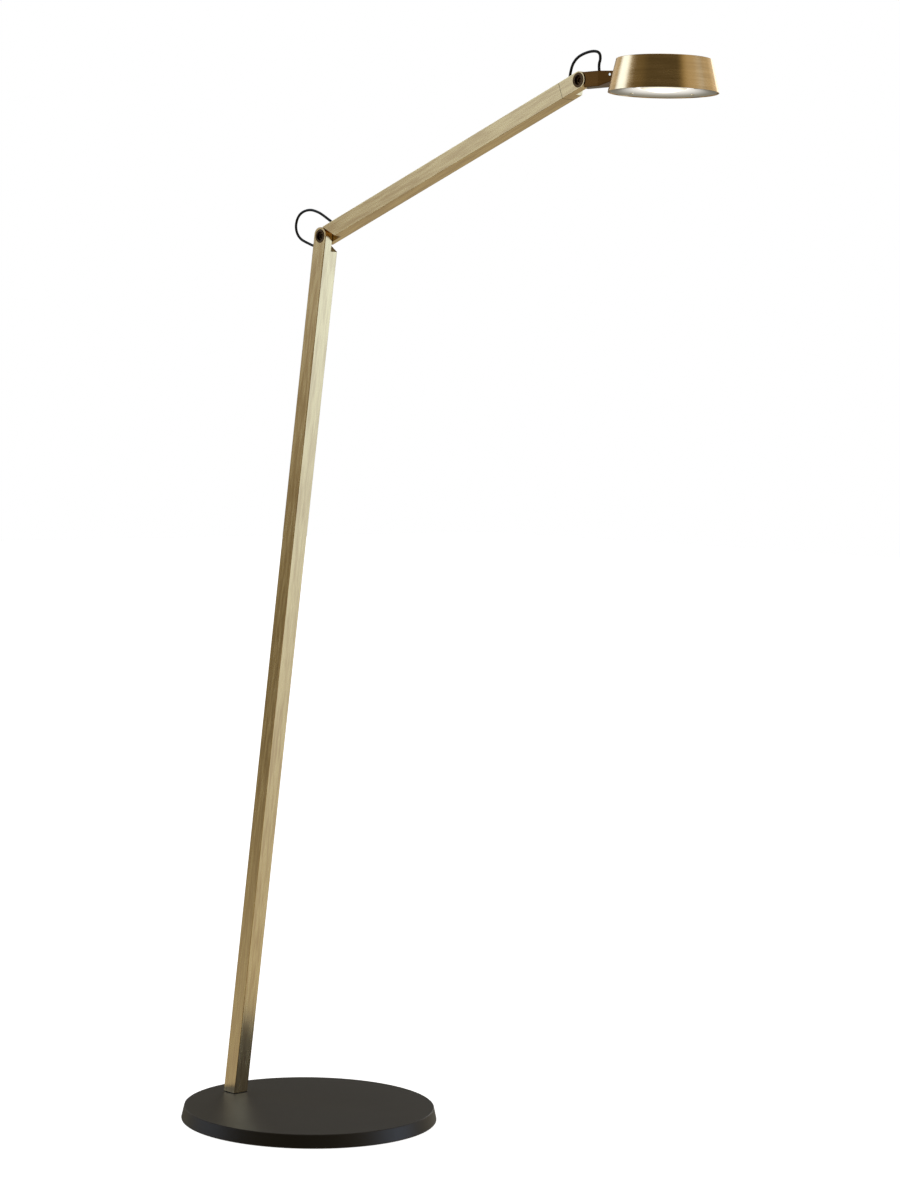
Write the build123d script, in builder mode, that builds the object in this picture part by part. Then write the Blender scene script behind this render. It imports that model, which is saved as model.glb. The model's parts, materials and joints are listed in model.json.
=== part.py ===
from build123d import *

import os
from math import cos, radians, sin, tan

os.makedirs("parts", exist_ok=True)

# Floor-standing reading lamp: a round base, a leaning square pole, a square arm on a half-lap
# elbow, a swivelling arm end with a second half-lap pivot, and a turned drum head.
# Millimetres, +Z up, +X from the pole towards the head, -Y is the near side with the bolt heads.
# The origin is on the floor under the middle of the base.

# Base disc and what is under it
base_bottom_radius = 150.0
base_top_radius = 146.5
base_height = 16.5
base_rim_chamfer = 0.5
base_foot_fillet = 1.2
pad_inset = 12.0
pad_thickness = 2.0
pad_proud = 0.8
clamp_thickness = 8.0
foot_bolt_radius = 4.0
foot_bolt_head_radius = 6.5
foot_bolt_head_height = 4.5
hex_sides = 6
foot_bolt_socket = 3.0
foot_bolt_socket_depth = 2.5
foot_washer_radius = 7.8
foot_washer_thickness = 1.5
foot_pocket_clearance = 0.7

# Pole: square tube, foot insert and the solid core of its top end
foot_inset = 43.0
foot_side = 24.0
pole_lean = 7.7
pole_length = 1021.5
pole_width = 20.0
pole_wall = 2.0
pole_corner = 0.6
bore_corner = 0.5
gasket_thickness = 0.8
insert_height = 24.0
thread_depth = 18.0
pole_core_length = 62.0
inlet_height = 44.0
lead_front = 3.5

# Arm: square tube, solid core at the elbow and bush at the swivel
arm_rise = 20.5
arm_length = 430.0
arm_width = 18.0
arm_wall = 1.5
arm_corner = 0.5
arm_core_length = 64.0

# Half-lap pivots
pole_lap_slant = 28.0
arm_lap_slant = 44.0
end_lap_slant = 30.0
lap_clearance = 0.6
hollow_relief_share = 0.82
ear_share = 0.51
pivot_radius = 3.0
pivot_head_radius = 7.4
pivot_rim = 1.6
pivot_mouth_chamfer = 0.3
pivot_head_depth = 4.6
pivot_head_chamfer = 0.4
pivot_lip = 2.2
pivot_dish_depth = 2.4
pivot_socket = 2.9
pivot_socket_depth = 1.4
pivot_nut_depth = 2.8
pivot_washer_inset = 0.6
pivot_washer_thickness = 0.6
pivot_spring_thickness = 0.6
nut_sink = 0.15
nut_pin_count = 2
nut_pin_radius = 0.8
nut_pin_circle = 5.0
nut_pin_depth = 1.2
seat_clearance = 0.15
running_gap = 0.05

# Swivelling end of the arm
swivel_reach = 27.0
swivel_washer_thickness = 0.5
swivel_washer_inset = 0.35
spigot_radius = 5.0
spigot_thread_radius = 4.0
bush_length = 20.0
swivel_spring_radius = 6.8
swivel_spring_thickness = 0.8
swivel_nut_thickness = 5.0
spigot_tail = 0.9

# Neck between the pivot and the head
neck_width = 16.0
neck_corner = 0.5
neck_block = 27.5
nose_width = 10.0
nose_depth = 5.2
nose_rise = 3.2
nipple_radius = 2.25
nipple_start = 40.0
nipple_tail = 1.0
nipple_nut_radius = 3.9
nipple_nut_thickness = 3.0
saddle_radius = 4.6
saddle_reach = 5.0
set_screw_reach = 43.2
set_screw_radius = 1.4
set_screw_proud = 0.15

# Head: turned drum with its light unit
head_reach = 112.3
head_drop = 19.3
head_height = 33.75
rim_radius = 56.6
crown_radius = 48.7
drum_wall = 1.5
crown_wall = 2.0
crown_fillet = 0.5
thermal_pad_radius = 34.0
thermal_pad_thickness = 0.8
bezel_recess = 0.5
bezel_rise = 3.5
bezel_thickness = 2.0
bezel_clearance = 0.1
bezel_opening = 25.0
bezel_boss_radius = 3.2
bezel_screw_count = 4
bezel_screw_circle = 44.0
bezel_screw_radius = 1.2
bezel_screw_head_radius = 2.3
bezel_screw_head_height = 1.0
bezel_screw_grip = 3.0
bezel_spot_depth = 0.3
lens_lip = 2.0
lens_seat = 0.8
lens_edge = 1.6
lens_crown = 4.6
sink_rise = 11.5
sink_radius = 46.5
sink_plate = 4.0
sink_hub_radius = 10.0
sink_fin_reach = 33.0
sink_fin_thickness = 2.0
sink_fin_count = 12
board_radius = 40.0
board_thickness = 1.6
chip_radius = 9.0
chip_thickness = 1.0
reflector_wall = 1.0
lead_join_reach = 34.0
lead_drop_reach = 77.0

# Cable and the sleeves that it leaves the metal through
cable_radius = 1.5
cable_near = 2.5
cable_clearance = 0.05
channel_clearance = 0.45
sleeve_wall = 0.75
sleeve_length = 5.0
neck_sleeve_length = 2.2
sleeve_proud = 0.3
lead_end_gap = 0.5
bend_share = 0.45

# Every cut runs this far past the face that it leaves
overrun = 5.0

# Values worked out from the driving sizes
pole_half = pole_width / 2
arm_half = arm_width / 2
neck_half = neck_width / 2
pole_bore = pole_width - 2 * pole_wall
arm_bore = arm_width - 2 * arm_wall
lamp_y = -foot_side
pad_radius = base_bottom_radius - pad_inset
foot_back = base_bottom_radius - foot_inset
foot_level = base_height + gasket_thickness
pocket_level = base_height - clamp_thickness
sleeve_radius = cable_radius + sleeve_wall
channel_radius = cable_radius + channel_clearance
pole_rise = 90 - pole_lean
sweep_reach = 4 * pole_width

foot_point = Vector(-foot_back, lamp_y, base_height)
elbow = foot_point + Vector(cos(radians(pole_rise)), 0, sin(radians(pole_rise))) * pole_length
tilt = elbow + Vector(cos(radians(arm_rise)), 0, sin(radians(arm_rise))) * arm_length


def bar_view(pivot, rise):
    """Side view of a bar: X along the bar, Y to its upper side, Z to the near side."""
    return Plane(origin=pivot, x_dir=(cos(radians(rise)), 0, sin(radians(rise))), z_dir=(0, -1, 0))


pole_view = bar_view(elbow, pole_rise)
arm_view = bar_view(elbow, arm_rise)
end_view = bar_view(tilt, arm_rise)
neck_view = bar_view(tilt, 0)
head_view = bar_view(tilt + Vector(head_reach, 0, 0), 0)
head_axis = Axis(head_view.origin, (0, 0, 1))


def turned(view, angle):
    """The same view turned about its own pivot."""
    along = view.x_dir * cos(radians(angle)) + view.y_dir * sin(radians(angle))
    return Plane(origin=view.origin, x_dir=along, z_dir=view.z_dir)


def section(view, reach):
    """Plane square across a bar, at a reach along it from its pivot."""
    return Plane(origin=view.from_local_coords((reach, 0, 0)), x_dir=-view.z_dir, z_dir=view.x_dir)


def far_face(view, half):
    """Plane on the far face of a bar, facing away from the near side."""
    return Plane(origin=view.from_local_coords((0, 0, -half)), x_dir=view.x_dir, z_dir=-view.z_dir)


def save(part, name):
    """Label a finished piece and write it to its own file."""
    part.label = name
    export_step(part, f"parts/{name}.step")


def square_bar(view, start, stop, width, corner):
    """Solid square bar with rounded corners between two reaches of a view."""
    with BuildSketch(section(view, start)) as profile:
        RectangleRounded(width, width, corner)
    extrude(profile.sketch, amount=stop - start)


def square_bore(view, start, stop, width, corner):
    """Square hole along a bar."""
    with BuildSketch(section(view, start)) as profile:
        RectangleRounded(width, width, corner)
    extrude(profile.sketch, amount=stop - start, mode=Mode.SUBTRACT)


def round_end(view, half, end):
    """Round the end of a bar about its pivot; end is Align.MIN ahead of it, Align.MAX behind."""
    with BuildSketch(view) as corners:
        Rectangle(half + overrun, 2 * (half + overrun), align=(end, Align.CENTER))
        Circle(half, mode=Mode.SUBTRACT)
    extrude(corners.sketch, amount=half + overrun, both=True, mode=Mode.SUBTRACT)


def lap_cut(view, slant, start, stop, level, depth):
    """Slanted half-lap cut between two distances from the pivot, depth deep from a level."""
    with BuildSketch(turned(view, slant).offset(level)) as waste:
        with Locations(((start + stop) / 2, 0)):
            Rectangle(stop - start, 2 * sweep_reach)
    extrude(waste.sketch, amount=depth, mode=Mode.SUBTRACT)


def drill(mouth, radius, depth):
    """Round hole into a part from a mouth plane that faces outwards."""
    with BuildSketch(mouth) as hole:
        Circle(radius)
    extrude(hole.sketch, amount=-depth, mode=Mode.SUBTRACT)
    extrude(hole.sketch, amount=overrun, mode=Mode.SUBTRACT)


def ring(plane, outer, inner, thickness):
    """Flat round ring standing on a plane."""
    with BuildPart() as washer:
        with BuildSketch(plane):
            Circle(outer)
            Circle(inner, mode=Mode.SUBTRACT)
        extrude(amount=thickness)
    return washer.part


def bend_radii(points):
    """Largest even bend at each corner of a cable's route."""
    radii = []
    for before, corner, after in zip(points, points[1:], points[2:]):
        turn = (corner - before).get_angle(after - corner)
        run = min((corner - before).length, (after - corner).length)
        radii.append(bend_share * run / tan(radians(turn) / 2))
    return radii


def round_tube(points, radius):
    """Round tube along straight runs joined by tangent arcs."""
    with BuildPart() as tube:
        with BuildLine() as route:
            FilletPolyline(*points, radius=bend_radii(points))
        with BuildSketch(Plane(origin=route.line @ 0, z_dir=route.line % 0)):
            Circle(radius)
        sweep()
    return tube.part


def cable(points, name):
    """One stretch of the cable, with its bends and its length printed."""
    tube = round_tube(points, cable_radius)
    length = tube.volume / (Circle(cable_radius, mode=Mode.PRIVATE).area)
    runs = sum((b - a).length for a, b in zip(points, points[1:]))
    bends = [round(radius, 1) for radius in bend_radii(points)]
    print(name, "length", round(length, 1), "runs", round(runs, 1), "bends", bends)
    save(tube, name)


def beside(pivot, route):
    """Points of a cable route given as forward and up from a pivot, in the cable's own plane."""
    return [Vector(pivot.X + forward, lamp_y - cable_near, pivot.Z + up) for forward, up in route]


def meet(view, start, inward, level):
    """Where a line from a cable exit reaches a level between the faces of a bar."""
    fall = inward.dot(view.y_dir)
    return start + inward * ((level - view.to_local_coords(start).Y) / fall)


def sleeve(mouth, face, depth, name):
    """Cable sleeve in a drilled exit, trimmed just proud of the face around it."""
    with BuildPart() as liner:
        with BuildSketch(mouth):
            Circle(sleeve_radius)
            Circle(cable_radius + cable_clearance, mode=Mode.SUBTRACT)
        extrude(amount=overrun)
        with BuildSketch(mouth):
            Circle(sleeve_radius)
            Circle(cable_radius + cable_clearance, mode=Mode.SUBTRACT)
        extrude(amount=-depth)
        split(bisect_by=face.offset(sleeve_proud), keep=Keep.BOTTOM)
    save(liner.part, name)


# Free cable loops over the two pivots, in the order in which the current flows
elbow_loop_route = [
    (-11.8, -12.5), (-28.5, -7.6), (-46.0, -0.5), (-52.3, 13.0), (-45.8, 27.0),
    (-28.5, 31.8), (-11.8, 28.0), (0.5, 22.0), (13.8, 14.8),
]
head_loop_route = [
    (-18.8, 2.6), (-17.5, 10.5), (-14.0, 19.0), (-6.5, 25.2), (5.0, 28.6),
    (16.0, 29.5), (24.0, 27.3), (25.6, 20.5), (22.9, 14.5), (24.1, 8.0),
]
elbow_loop = beside(elbow, elbow_loop_route)
head_loop = beside(tilt, head_loop_route)

# Where the cable leaves each bar: the mouth looks along the cable, the face along the metal
pole_inward = (elbow_loop[0] - elbow_loop[1]).normalized()
arm_inward = (elbow_loop[-1] - elbow_loop[-2]).normalized()
end_inward = (head_loop[0] - head_loop[1]).normalized()
neck_inward = (head_loop[-1] - head_loop[-2]).normalized()
pole_exit = meet(pole_view, elbow_loop[0], pole_inward, pole_half)
arm_exit = meet(arm_view, elbow_loop[-1], arm_inward, arm_half)
end_exit = meet(end_view, head_loop[0], end_inward, arm_half)
neck_exit = meet(neck_view, head_loop[-1], neck_inward, neck_half)
elbow_loop[0] = pole_exit
elbow_loop[-1] = arm_exit
head_loop[0] = end_exit
head_loop[-1] = neck_exit
pole_mouth = Plane(origin=pole_exit, z_dir=-pole_inward)
arm_mouth = Plane(origin=arm_exit, z_dir=-arm_inward)
end_mouth = Plane(origin=end_exit, z_dir=-end_inward)
neck_mouth = Plane(origin=neck_exit, z_dir=-neck_inward)
inlet_point = pole_view.from_local_coords((inlet_height - pole_length, pole_half, 0))
inlet_mouth = Plane(origin=inlet_point, z_dir=pole_view.y_dir)

# Routes of the cable inside the metal
pole_lead = [
    inlet_point,
    meet(pole_view, inlet_point, -pole_view.y_dir, -lead_front),
    meet(pole_view, pole_exit, pole_inward, -lead_front),
    pole_exit,
]
swivel_face = -swivel_reach - swivel_washer_thickness / 2
bush_end = swivel_face - bush_length
spring_end = bush_end - running_gap - swivel_spring_thickness
spigot_end = spring_end - swivel_nut_thickness - spigot_tail
spigot_mouth = end_view.from_local_coords((spigot_end, 0, 0))
arm_lead_end = end_view.from_local_coords((spigot_end - lead_end_gap, 0, 0))
arm_lead = [arm_exit, meet(arm_view, arm_exit, arm_inward, 0), arm_lead_end]
end_lead = [spigot_mouth, meet(end_view, end_exit, end_inward, 0), end_exit]
bezel_level = bezel_recess - head_drop
bezel_top = bezel_level + bezel_thickness
sink_level = bezel_level + sink_rise
sink_top = sink_level + sink_plate
crown_level = head_height - head_drop
pad_level = crown_level - crown_wall - thermal_pad_thickness
neck_lead = [
    neck_exit,
    meet(neck_view, neck_exit, neck_inward, nose_rise),
    neck_view.from_local_coords((lead_join_reach, nose_rise, 0)),
    neck_view.from_local_coords((lead_drop_reach, nose_rise, 0)),
    neck_view.from_local_coords((lead_drop_reach, sink_level, 0)),
]


def drum_radius(level):
    """Outer radius of the head at a height above the tilt pivot."""
    return rim_radius + (crown_radius - rim_radius) * (level + head_drop) / head_height


# Base: a heavy disc with a tapered edge, an underlay let into its underside and one bolt
foot_bolt_axis = Plane(origin=(foot_point.X, lamp_y, 0))

with BuildPart() as base_disc:
    with BuildSketch(Plane.XZ):
        with BuildLine():
            Polyline(
                (0, pad_proud),
                (base_bottom_radius, pad_proud),
                (base_top_radius, base_height),
                (0, base_height),
                close=True,
            )
        make_face()
    revolve(axis=Axis.Z)
    chamfer(base_disc.edges().group_by(Axis.Z)[-1], length=base_rim_chamfer)
    fillet(base_disc.edges().group_by(Axis.Z)[0], radius=base_foot_fillet)
    with BuildSketch(Plane.XY):
        Circle(pad_radius)
    extrude(amount=pad_thickness, mode=Mode.SUBTRACT)
    with BuildSketch(foot_bolt_axis):
        Circle(foot_washer_radius + foot_pocket_clearance)
    extrude(amount=pocket_level, mode=Mode.SUBTRACT)
    with BuildSketch(foot_bolt_axis):
        Circle(foot_bolt_radius + seat_clearance)
    extrude(amount=base_height + overrun, mode=Mode.SUBTRACT)
save(base_disc.part, "base_disc")

with BuildPart() as base_pad:
    with BuildSketch(Plane.XY):
        Circle(pad_radius - seat_clearance)
    extrude(amount=pad_thickness)
save(base_pad.part, "base_pad")

bolt_seat = pocket_level - foot_washer_thickness
save(
    ring(
        foot_bolt_axis.offset(bolt_seat),
        foot_washer_radius,
        foot_bolt_radius + seat_clearance,
        foot_washer_thickness,
    ),
    "bolt_washer",
)

with BuildPart() as pole_bolt:
    with BuildSketch(foot_bolt_axis.offset(bolt_seat)):
        Circle(foot_bolt_head_radius)
    extrude(amount=-foot_bolt_head_height)
    with BuildSketch(foot_bolt_axis.offset(bolt_seat)):
        Circle(foot_bolt_radius)
    extrude(amount=foot_level + thread_depth - bolt_seat)
    with BuildSketch(foot_bolt_axis.offset(bolt_seat - foot_bolt_head_height)):
        RegularPolygon(foot_bolt_socket, hex_sides)
    extrude(amount=foot_bolt_socket_depth, mode=Mode.SUBTRACT)
save(pole_bolt.part, "pole_bolt")

# Pole: tube, gasket and threaded insert at its foot
with BuildPart() as foot_gasket:
    square_bar(pole_view, -pole_length - pole_width, -pole_length + pole_width, pole_width, pole_corner)
    split(bisect_by=Plane.XY.offset(base_height), keep=Keep.TOP)
    split(bisect_by=Plane.XY.offset(foot_level), keep=Keep.BOTTOM)
    drill(foot_bolt_axis.offset(foot_level), foot_bolt_radius + seat_clearance, base_height)
save(foot_gasket.part, "foot_gasket")

with BuildPart() as foot_insert:
    square_bar(pole_view, -pole_length - pole_width, -pole_length + insert_height, pole_bore, bore_corner)
    split(bisect_by=Plane.XY.offset(foot_level), keep=Keep.TOP)
    drill(foot_bolt_axis.offset(foot_level + thread_depth), foot_bolt_radius, thread_depth + overrun)
save(foot_insert.part, "foot_insert")

# The feature that takes the most skill: the half-lap pivots, cut through tube and core alike
ear_level = pole_half - ear_share * pole_width
tongue_level = ear_level - pivot_washer_thickness - running_gap
end_ear_level = arm_half - ear_share * arm_width
neck_tongue_level = end_ear_level - pivot_washer_thickness - running_gap


def ear_cuts(view, half, level, partner_half, slant):
    """Near-side ear at the far end of a bar: slanted seat, round end and bolt seat."""
    lap_cut(view, slant, -partner_half - lap_clearance, sweep_reach, level, -half - overrun)
    round_end(view, half, Align.MIN)
    mouth = pivot_head_radius + seat_clearance
    with Locations(view.offset(half)):
        CounterBoreHole(
            radius=pivot_radius,
            counter_bore_radius=mouth,
            counter_bore_depth=pivot_head_depth,
        )
        Cone(
            mouth,
            mouth + pivot_mouth_chamfer,
            pivot_mouth_chamfer,
            align=(Align.CENTER, Align.CENTER, Align.MAX),
            mode=Mode.SUBTRACT,
        )


def tongue_end(view, half):
    """Round end and nut seat of a far-side tongue."""
    round_end(view, half, Align.MAX)
    with Locations(far_face(view, half)):
        CounterBoreHole(
            radius=pivot_radius + running_gap,
            counter_bore_radius=half - pivot_rim + 2 * seat_clearance,
            counter_bore_depth=pivot_nut_depth,
        )


def tongue_cuts(view, half, level, partner_half, slant):
    """Far-side tongue at the near end of a bar, with a slanted seat."""
    lap_cut(view, slant, -sweep_reach, partner_half + lap_clearance, level, half - level + overrun)
    tongue_end(view, half)


def hollow_cuts(view, half, level, partner_half):
    """Far-side tongue whose seat is a hollow round the partner's end, relieved below."""
    hollow = partner_half + lap_clearance
    with BuildSketch(view.offset(level)) as waste:
        Circle(hollow)
        Rectangle(sweep_reach, 2 * sweep_reach, align=(Align.MAX, Align.CENTER))
        Rectangle(hollow * hollow_relief_share, sweep_reach, align=(Align.MIN, Align.MAX))
    extrude(waste.sketch, amount=half - level + overrun, mode=Mode.SUBTRACT)
    tongue_end(view, half)


with BuildPart() as pole_tube:
    square_bar(pole_view, -pole_length - pole_width, pole_half, pole_width, pole_corner)
    square_bore(pole_view, -pole_length - pole_width, pole_width, pole_bore, bore_corner)
    split(bisect_by=Plane.XY.offset(foot_level), keep=Keep.TOP)
    ear_cuts(pole_view, pole_half, ear_level, arm_half, -pole_lap_slant)
    drill(pole_mouth, sleeve_radius, sleeve_length)
    drill(inlet_mouth, sleeve_radius, pole_half)
save(pole_tube.part, "pole_tube")

with BuildPart() as pole_core:
    square_bar(pole_view, -pole_core_length, pole_half, pole_bore, bore_corner)
    ear_cuts(pole_view, pole_half, ear_level, arm_half, -pole_lap_slant)
    drill(pole_mouth, sleeve_radius, sleeve_length)
    add(round_tube(pole_lead, channel_radius), mode=Mode.SUBTRACT)
save(pole_core.part, "pole_core")

sleeve(pole_mouth, Plane(origin=pole_exit, z_dir=pole_view.y_dir), sleeve_length, "pole_sleeve")
sleeve(inlet_mouth, Plane(origin=inlet_point, z_dir=pole_view.y_dir), sleeve_length, "cord_inlet")
cable(pole_lead, "pole_lead")
cable(elbow_loop, "elbow_loop")

# Arm: tube, core with the elbow's tongue and the bush for the swivel
arm_end = arm_length + swivel_face

with BuildPart() as arm_tube:
    square_bar(arm_view, -arm_half, arm_end, arm_width, arm_corner)
    square_bore(arm_view, -arm_width, arm_end, arm_bore, bore_corner)
    tongue_cuts(arm_view, arm_half, tongue_level, pole_half, arm_lap_slant)
    drill(arm_mouth, sleeve_radius, sleeve_length)
save(arm_tube.part, "arm_tube")

with BuildPart() as arm_core:
    square_bar(arm_view, -arm_half, arm_core_length, arm_bore, bore_corner)
    tongue_cuts(arm_view, arm_half, tongue_level, pole_half, arm_lap_slant)
    drill(arm_mouth, sleeve_radius, sleeve_length)
    add(round_tube(arm_lead, channel_radius), mode=Mode.SUBTRACT)
save(arm_core.part, "arm_core")

sleeve(arm_mouth, Plane(origin=arm_exit, z_dir=arm_view.y_dir), sleeve_length, "arm_sleeve")
cable(arm_lead, "arm_lead")

with BuildPart() as swivel_bush:
    square_bar(end_view, bush_end, swivel_face, arm_bore, bore_corner)
    drill(section(end_view, swivel_face), spigot_radius + running_gap, bush_length + overrun)
save(swivel_bush.part, "swivel_bush")

with BuildPart() as swivel_washer:
    washer_width = arm_width - 2 * swivel_washer_inset
    square_bar(end_view, swivel_face, swivel_face + swivel_washer_thickness, washer_width, arm_corner)
    washer_mouth = section(end_view, swivel_face + swivel_washer_thickness)
    drill(washer_mouth, spigot_radius + running_gap, swivel_washer_thickness + overrun)
save(swivel_washer.part, "swivel_washer")

# Arm end: swivels on its spigot and carries the tilt pivot's ear
shoulder = swivel_face + swivel_washer_thickness + running_gap

with BuildPart() as arm_knuckle:
    square_bar(end_view, shoulder, arm_half, arm_width, arm_corner)
    ear_cuts(end_view, arm_half, end_ear_level, neck_half, -end_lap_slant)
    with BuildSketch(section(end_view, bush_end)):
        Circle(spigot_radius)
    extrude(amount=shoulder - bush_end)
    with BuildSketch(section(end_view, spigot_end)):
        Circle(spigot_thread_radius)
    extrude(amount=bush_end - spigot_end)
    drill(end_mouth, sleeve_radius, sleeve_length)
    add(round_tube(end_lead, channel_radius), mode=Mode.SUBTRACT)
save(arm_knuckle.part, "arm_knuckle")

save(
    ring(
        section(end_view, spring_end),
        swivel_spring_radius,
        spigot_thread_radius + seat_clearance,
        swivel_spring_thickness,
    ),
    "swivel_spring",
)
save(
    ring(
        section(end_view, spring_end - swivel_nut_thickness),
        swivel_spring_radius,
        spigot_thread_radius,
        swivel_nut_thickness,
    ),
    "swivel_nut",
)
sleeve(end_mouth, Plane(origin=end_exit, z_dir=end_view.y_dir), sleeve_length, "knuckle_sleeve")
cable(end_lead, "knuckle_lead")
cable(head_loop, "head_loop")


def pivot_hardware(name, view, half, level, tongue_half):
    """Bolt, friction washer, disc spring and round nut of one half-lap pivot."""
    nut_radius = tongue_half - pivot_rim
    seat = half - pivot_head_depth
    recess = pivot_nut_depth - tongue_half
    spring_level = recess - running_gap - pivot_spring_thickness
    nut_face = nut_sink - tongue_half
    with BuildPart() as bolt:
        with BuildSketch(view.offset(seat)):
            Circle(pivot_head_radius)
        extrude(amount=pivot_head_depth)
        chamfer(bolt.edges().group_by(Axis.Y)[0], length=pivot_head_chamfer)
        with BuildSketch(view.offset(half)):
            Circle(pivot_head_radius - pivot_lip)
        extrude(amount=-pivot_dish_depth, mode=Mode.SUBTRACT)
        with BuildSketch(view.offset(half - pivot_dish_depth)):
            RegularPolygon(pivot_socket, hex_sides)
        extrude(amount=-pivot_socket_depth, mode=Mode.SUBTRACT)
        with BuildSketch(view.offset(nut_face)):
            Circle(pivot_radius)
        extrude(amount=seat - nut_face)
    save(bolt.part, f"{name}_bolt")
    washer_plane = view.offset(level - pivot_washer_thickness)
    washer = ring(washer_plane, tongue_half - pivot_washer_inset, pivot_radius, pivot_washer_thickness)
    save(washer, f"{name}_washer")
    spring = ring(view.offset(spring_level), nut_radius, pivot_radius, pivot_spring_thickness)
    save(spring, f"{name}_spring")
    with BuildPart() as nut:
        with BuildSketch(view.offset(nut_face)):
            Circle(nut_radius)
            Circle(pivot_radius, mode=Mode.SUBTRACT)
        extrude(amount=spring_level - nut_face)
        with BuildSketch(view.offset(nut_face)):
            with PolarLocations(nut_pin_circle, nut_pin_count):
                Circle(nut_pin_radius)
        extrude(amount=nut_pin_depth, mode=Mode.SUBTRACT)
    save(nut.part, f"{name}_nut")


pivot_hardware("elbow", pole_view, pole_half, ear_level, arm_half)
pivot_hardware("tilt", end_view, arm_half, end_ear_level, neck_half)

# Neck: pivot tongue, square block and a tapered nose that is trimmed to the drum
nose_end = head_reach - crown_radius
rim_centre = head_view.origin - Vector(0, 0, head_drop)

with BuildPart() as neck:
    square_bar(neck_view, -neck_half, neck_block, neck_width, neck_corner)
    hollow_cuts(neck_view, neck_half, neck_tongue_level, arm_half)
    with BuildSketch(section(neck_view, neck_block)):
        RectangleRounded(neck_width, neck_width, neck_corner)
    with BuildSketch(section(neck_view, nose_end)):
        with Locations((0, nose_rise)):
            RectangleRounded(nose_width, nose_depth, neck_corner)
    loft(ruled=True)
    with Locations(rim_centre):
        Cone(
            rim_radius,
            crown_radius,
            head_height,
            align=(Align.CENTER, Align.CENTER, Align.MIN),
            mode=Mode.SUBTRACT,
        )
    drill(neck_mouth, sleeve_radius, neck_sleeve_length)
    add(round_tube(neck_lead, channel_radius), mode=Mode.SUBTRACT)
    with BuildSketch(section(neck_view, nipple_start)):
        with Locations((0, nose_rise)):
            Circle(nipple_radius)
    extrude(amount=nose_end - nipple_start, mode=Mode.SUBTRACT)
    with BuildSketch(neck_view):
        with Locations((set_screw_reach, nose_rise)):
            Circle(set_screw_radius)
    extrude(amount=neck_width, mode=Mode.SUBTRACT)
save(neck.part, "neck")

sleeve(neck_mouth, Plane(origin=neck_exit, z_dir=neck_view.y_dir), neck_sleeve_length, "neck_sleeve")
cable(neck_lead, "neck_lead")

# Hollow threaded nipple through the drum's wall, with its saddle, nut and set screw
wall_reach = head_reach - drum_radius(nose_rise)
saddle_face = wall_reach + drum_wall + saddle_reach
nipple_end = saddle_face + nipple_nut_thickness + nipple_tail


def along_nipple(reach):
    """Plane across the nipple's axis at a reach from the tilt pivot."""
    return section(bar_view(neck_view.from_local_coords((0, nose_rise, 0)), 0), reach)


save(
    ring(along_nipple(nipple_start), nipple_radius, cable_radius + cable_clearance, nipple_end - nipple_start),
    "neck_nipple",
)
save(
    ring(along_nipple(saddle_face), nipple_nut_radius, nipple_radius, nipple_nut_thickness),
    "nipple_nut",
)

with BuildPart() as nipple_saddle:
    with BuildSketch(along_nipple(wall_reach - drum_wall)):
        Circle(saddle_radius)
        Circle(nipple_radius, mode=Mode.SUBTRACT)
    extrude(amount=saddle_face - wall_reach + drum_wall)
    with Locations(rim_centre):
        Cone(
            rim_radius - drum_wall,
            crown_radius - drum_wall,
            head_height,
            align=(Align.CENTER, Align.CENTER, Align.MIN),
            mode=Mode.INTERSECT,
        )
save(nipple_saddle.part, "nipple_saddle")

nose_share = (set_screw_reach - neck_block) / (nose_end - neck_block)
nose_side = neck_half + (nose_width / 2 - neck_half) * nose_share

with BuildPart() as set_screw:
    with BuildSketch(neck_view.offset(nipple_radius)):
        with Locations((set_screw_reach, nose_rise)):
            Circle(set_screw_radius)
    extrude(amount=nose_side + set_screw_proud - nipple_radius)
save(set_screw.part, "set_screw")

# Head: drum shell
crown_inner = crown_level - crown_wall

with BuildPart() as head_shell:
    with BuildSketch(head_view):
        with BuildLine():
            Polyline(
                (0, crown_level),
                (crown_radius, crown_level),
                (rim_radius, -head_drop),
                (rim_radius - drum_wall, -head_drop),
                (drum_radius(crown_inner) - drum_wall, crown_inner),
                (0, crown_inner),
                close=True,
            )
        make_face()
    revolve(axis=head_axis)
    fillet(head_shell.edges().group_by(Axis.Z)[-1], radius=crown_fillet)
    with BuildSketch(along_nipple(wall_reach - drum_wall)):
        Circle(nipple_radius)
    extrude(amount=2 * drum_wall + overrun, mode=Mode.SUBTRACT)
save(head_shell.part, "head_shell")


def head_plane(level):
    """Level plane through the head's axis at a height above the tilt pivot."""
    return Plane(origin=head_view.origin + Vector(0, 0, level), x_dir=(1, 0, 0), z_dir=(0, 0, 1))


def disc(level, radius, thickness, name):
    """Plain disc in the head."""
    with BuildPart() as plate:
        with BuildSketch(head_plane(level)):
            Circle(radius)
        extrude(amount=thickness)
    save(plate.part, name)


# Light unit: thermal pad, finned sink, board, emitter, reflector, lens and bezel
disc(pad_level, thermal_pad_radius, thermal_pad_thickness, "thermal_pad")
disc(sink_level - board_thickness, board_radius, board_thickness, "led_board")
chip_level = sink_level - board_thickness - chip_thickness
disc(chip_level, chip_radius, chip_thickness, "led_chip")


def screw_circles(radius, mode=Mode.ADD):
    """One circle at each bezel screw."""
    with PolarLocations(bezel_screw_circle, bezel_screw_count):
        Circle(radius, mode=mode)


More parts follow.
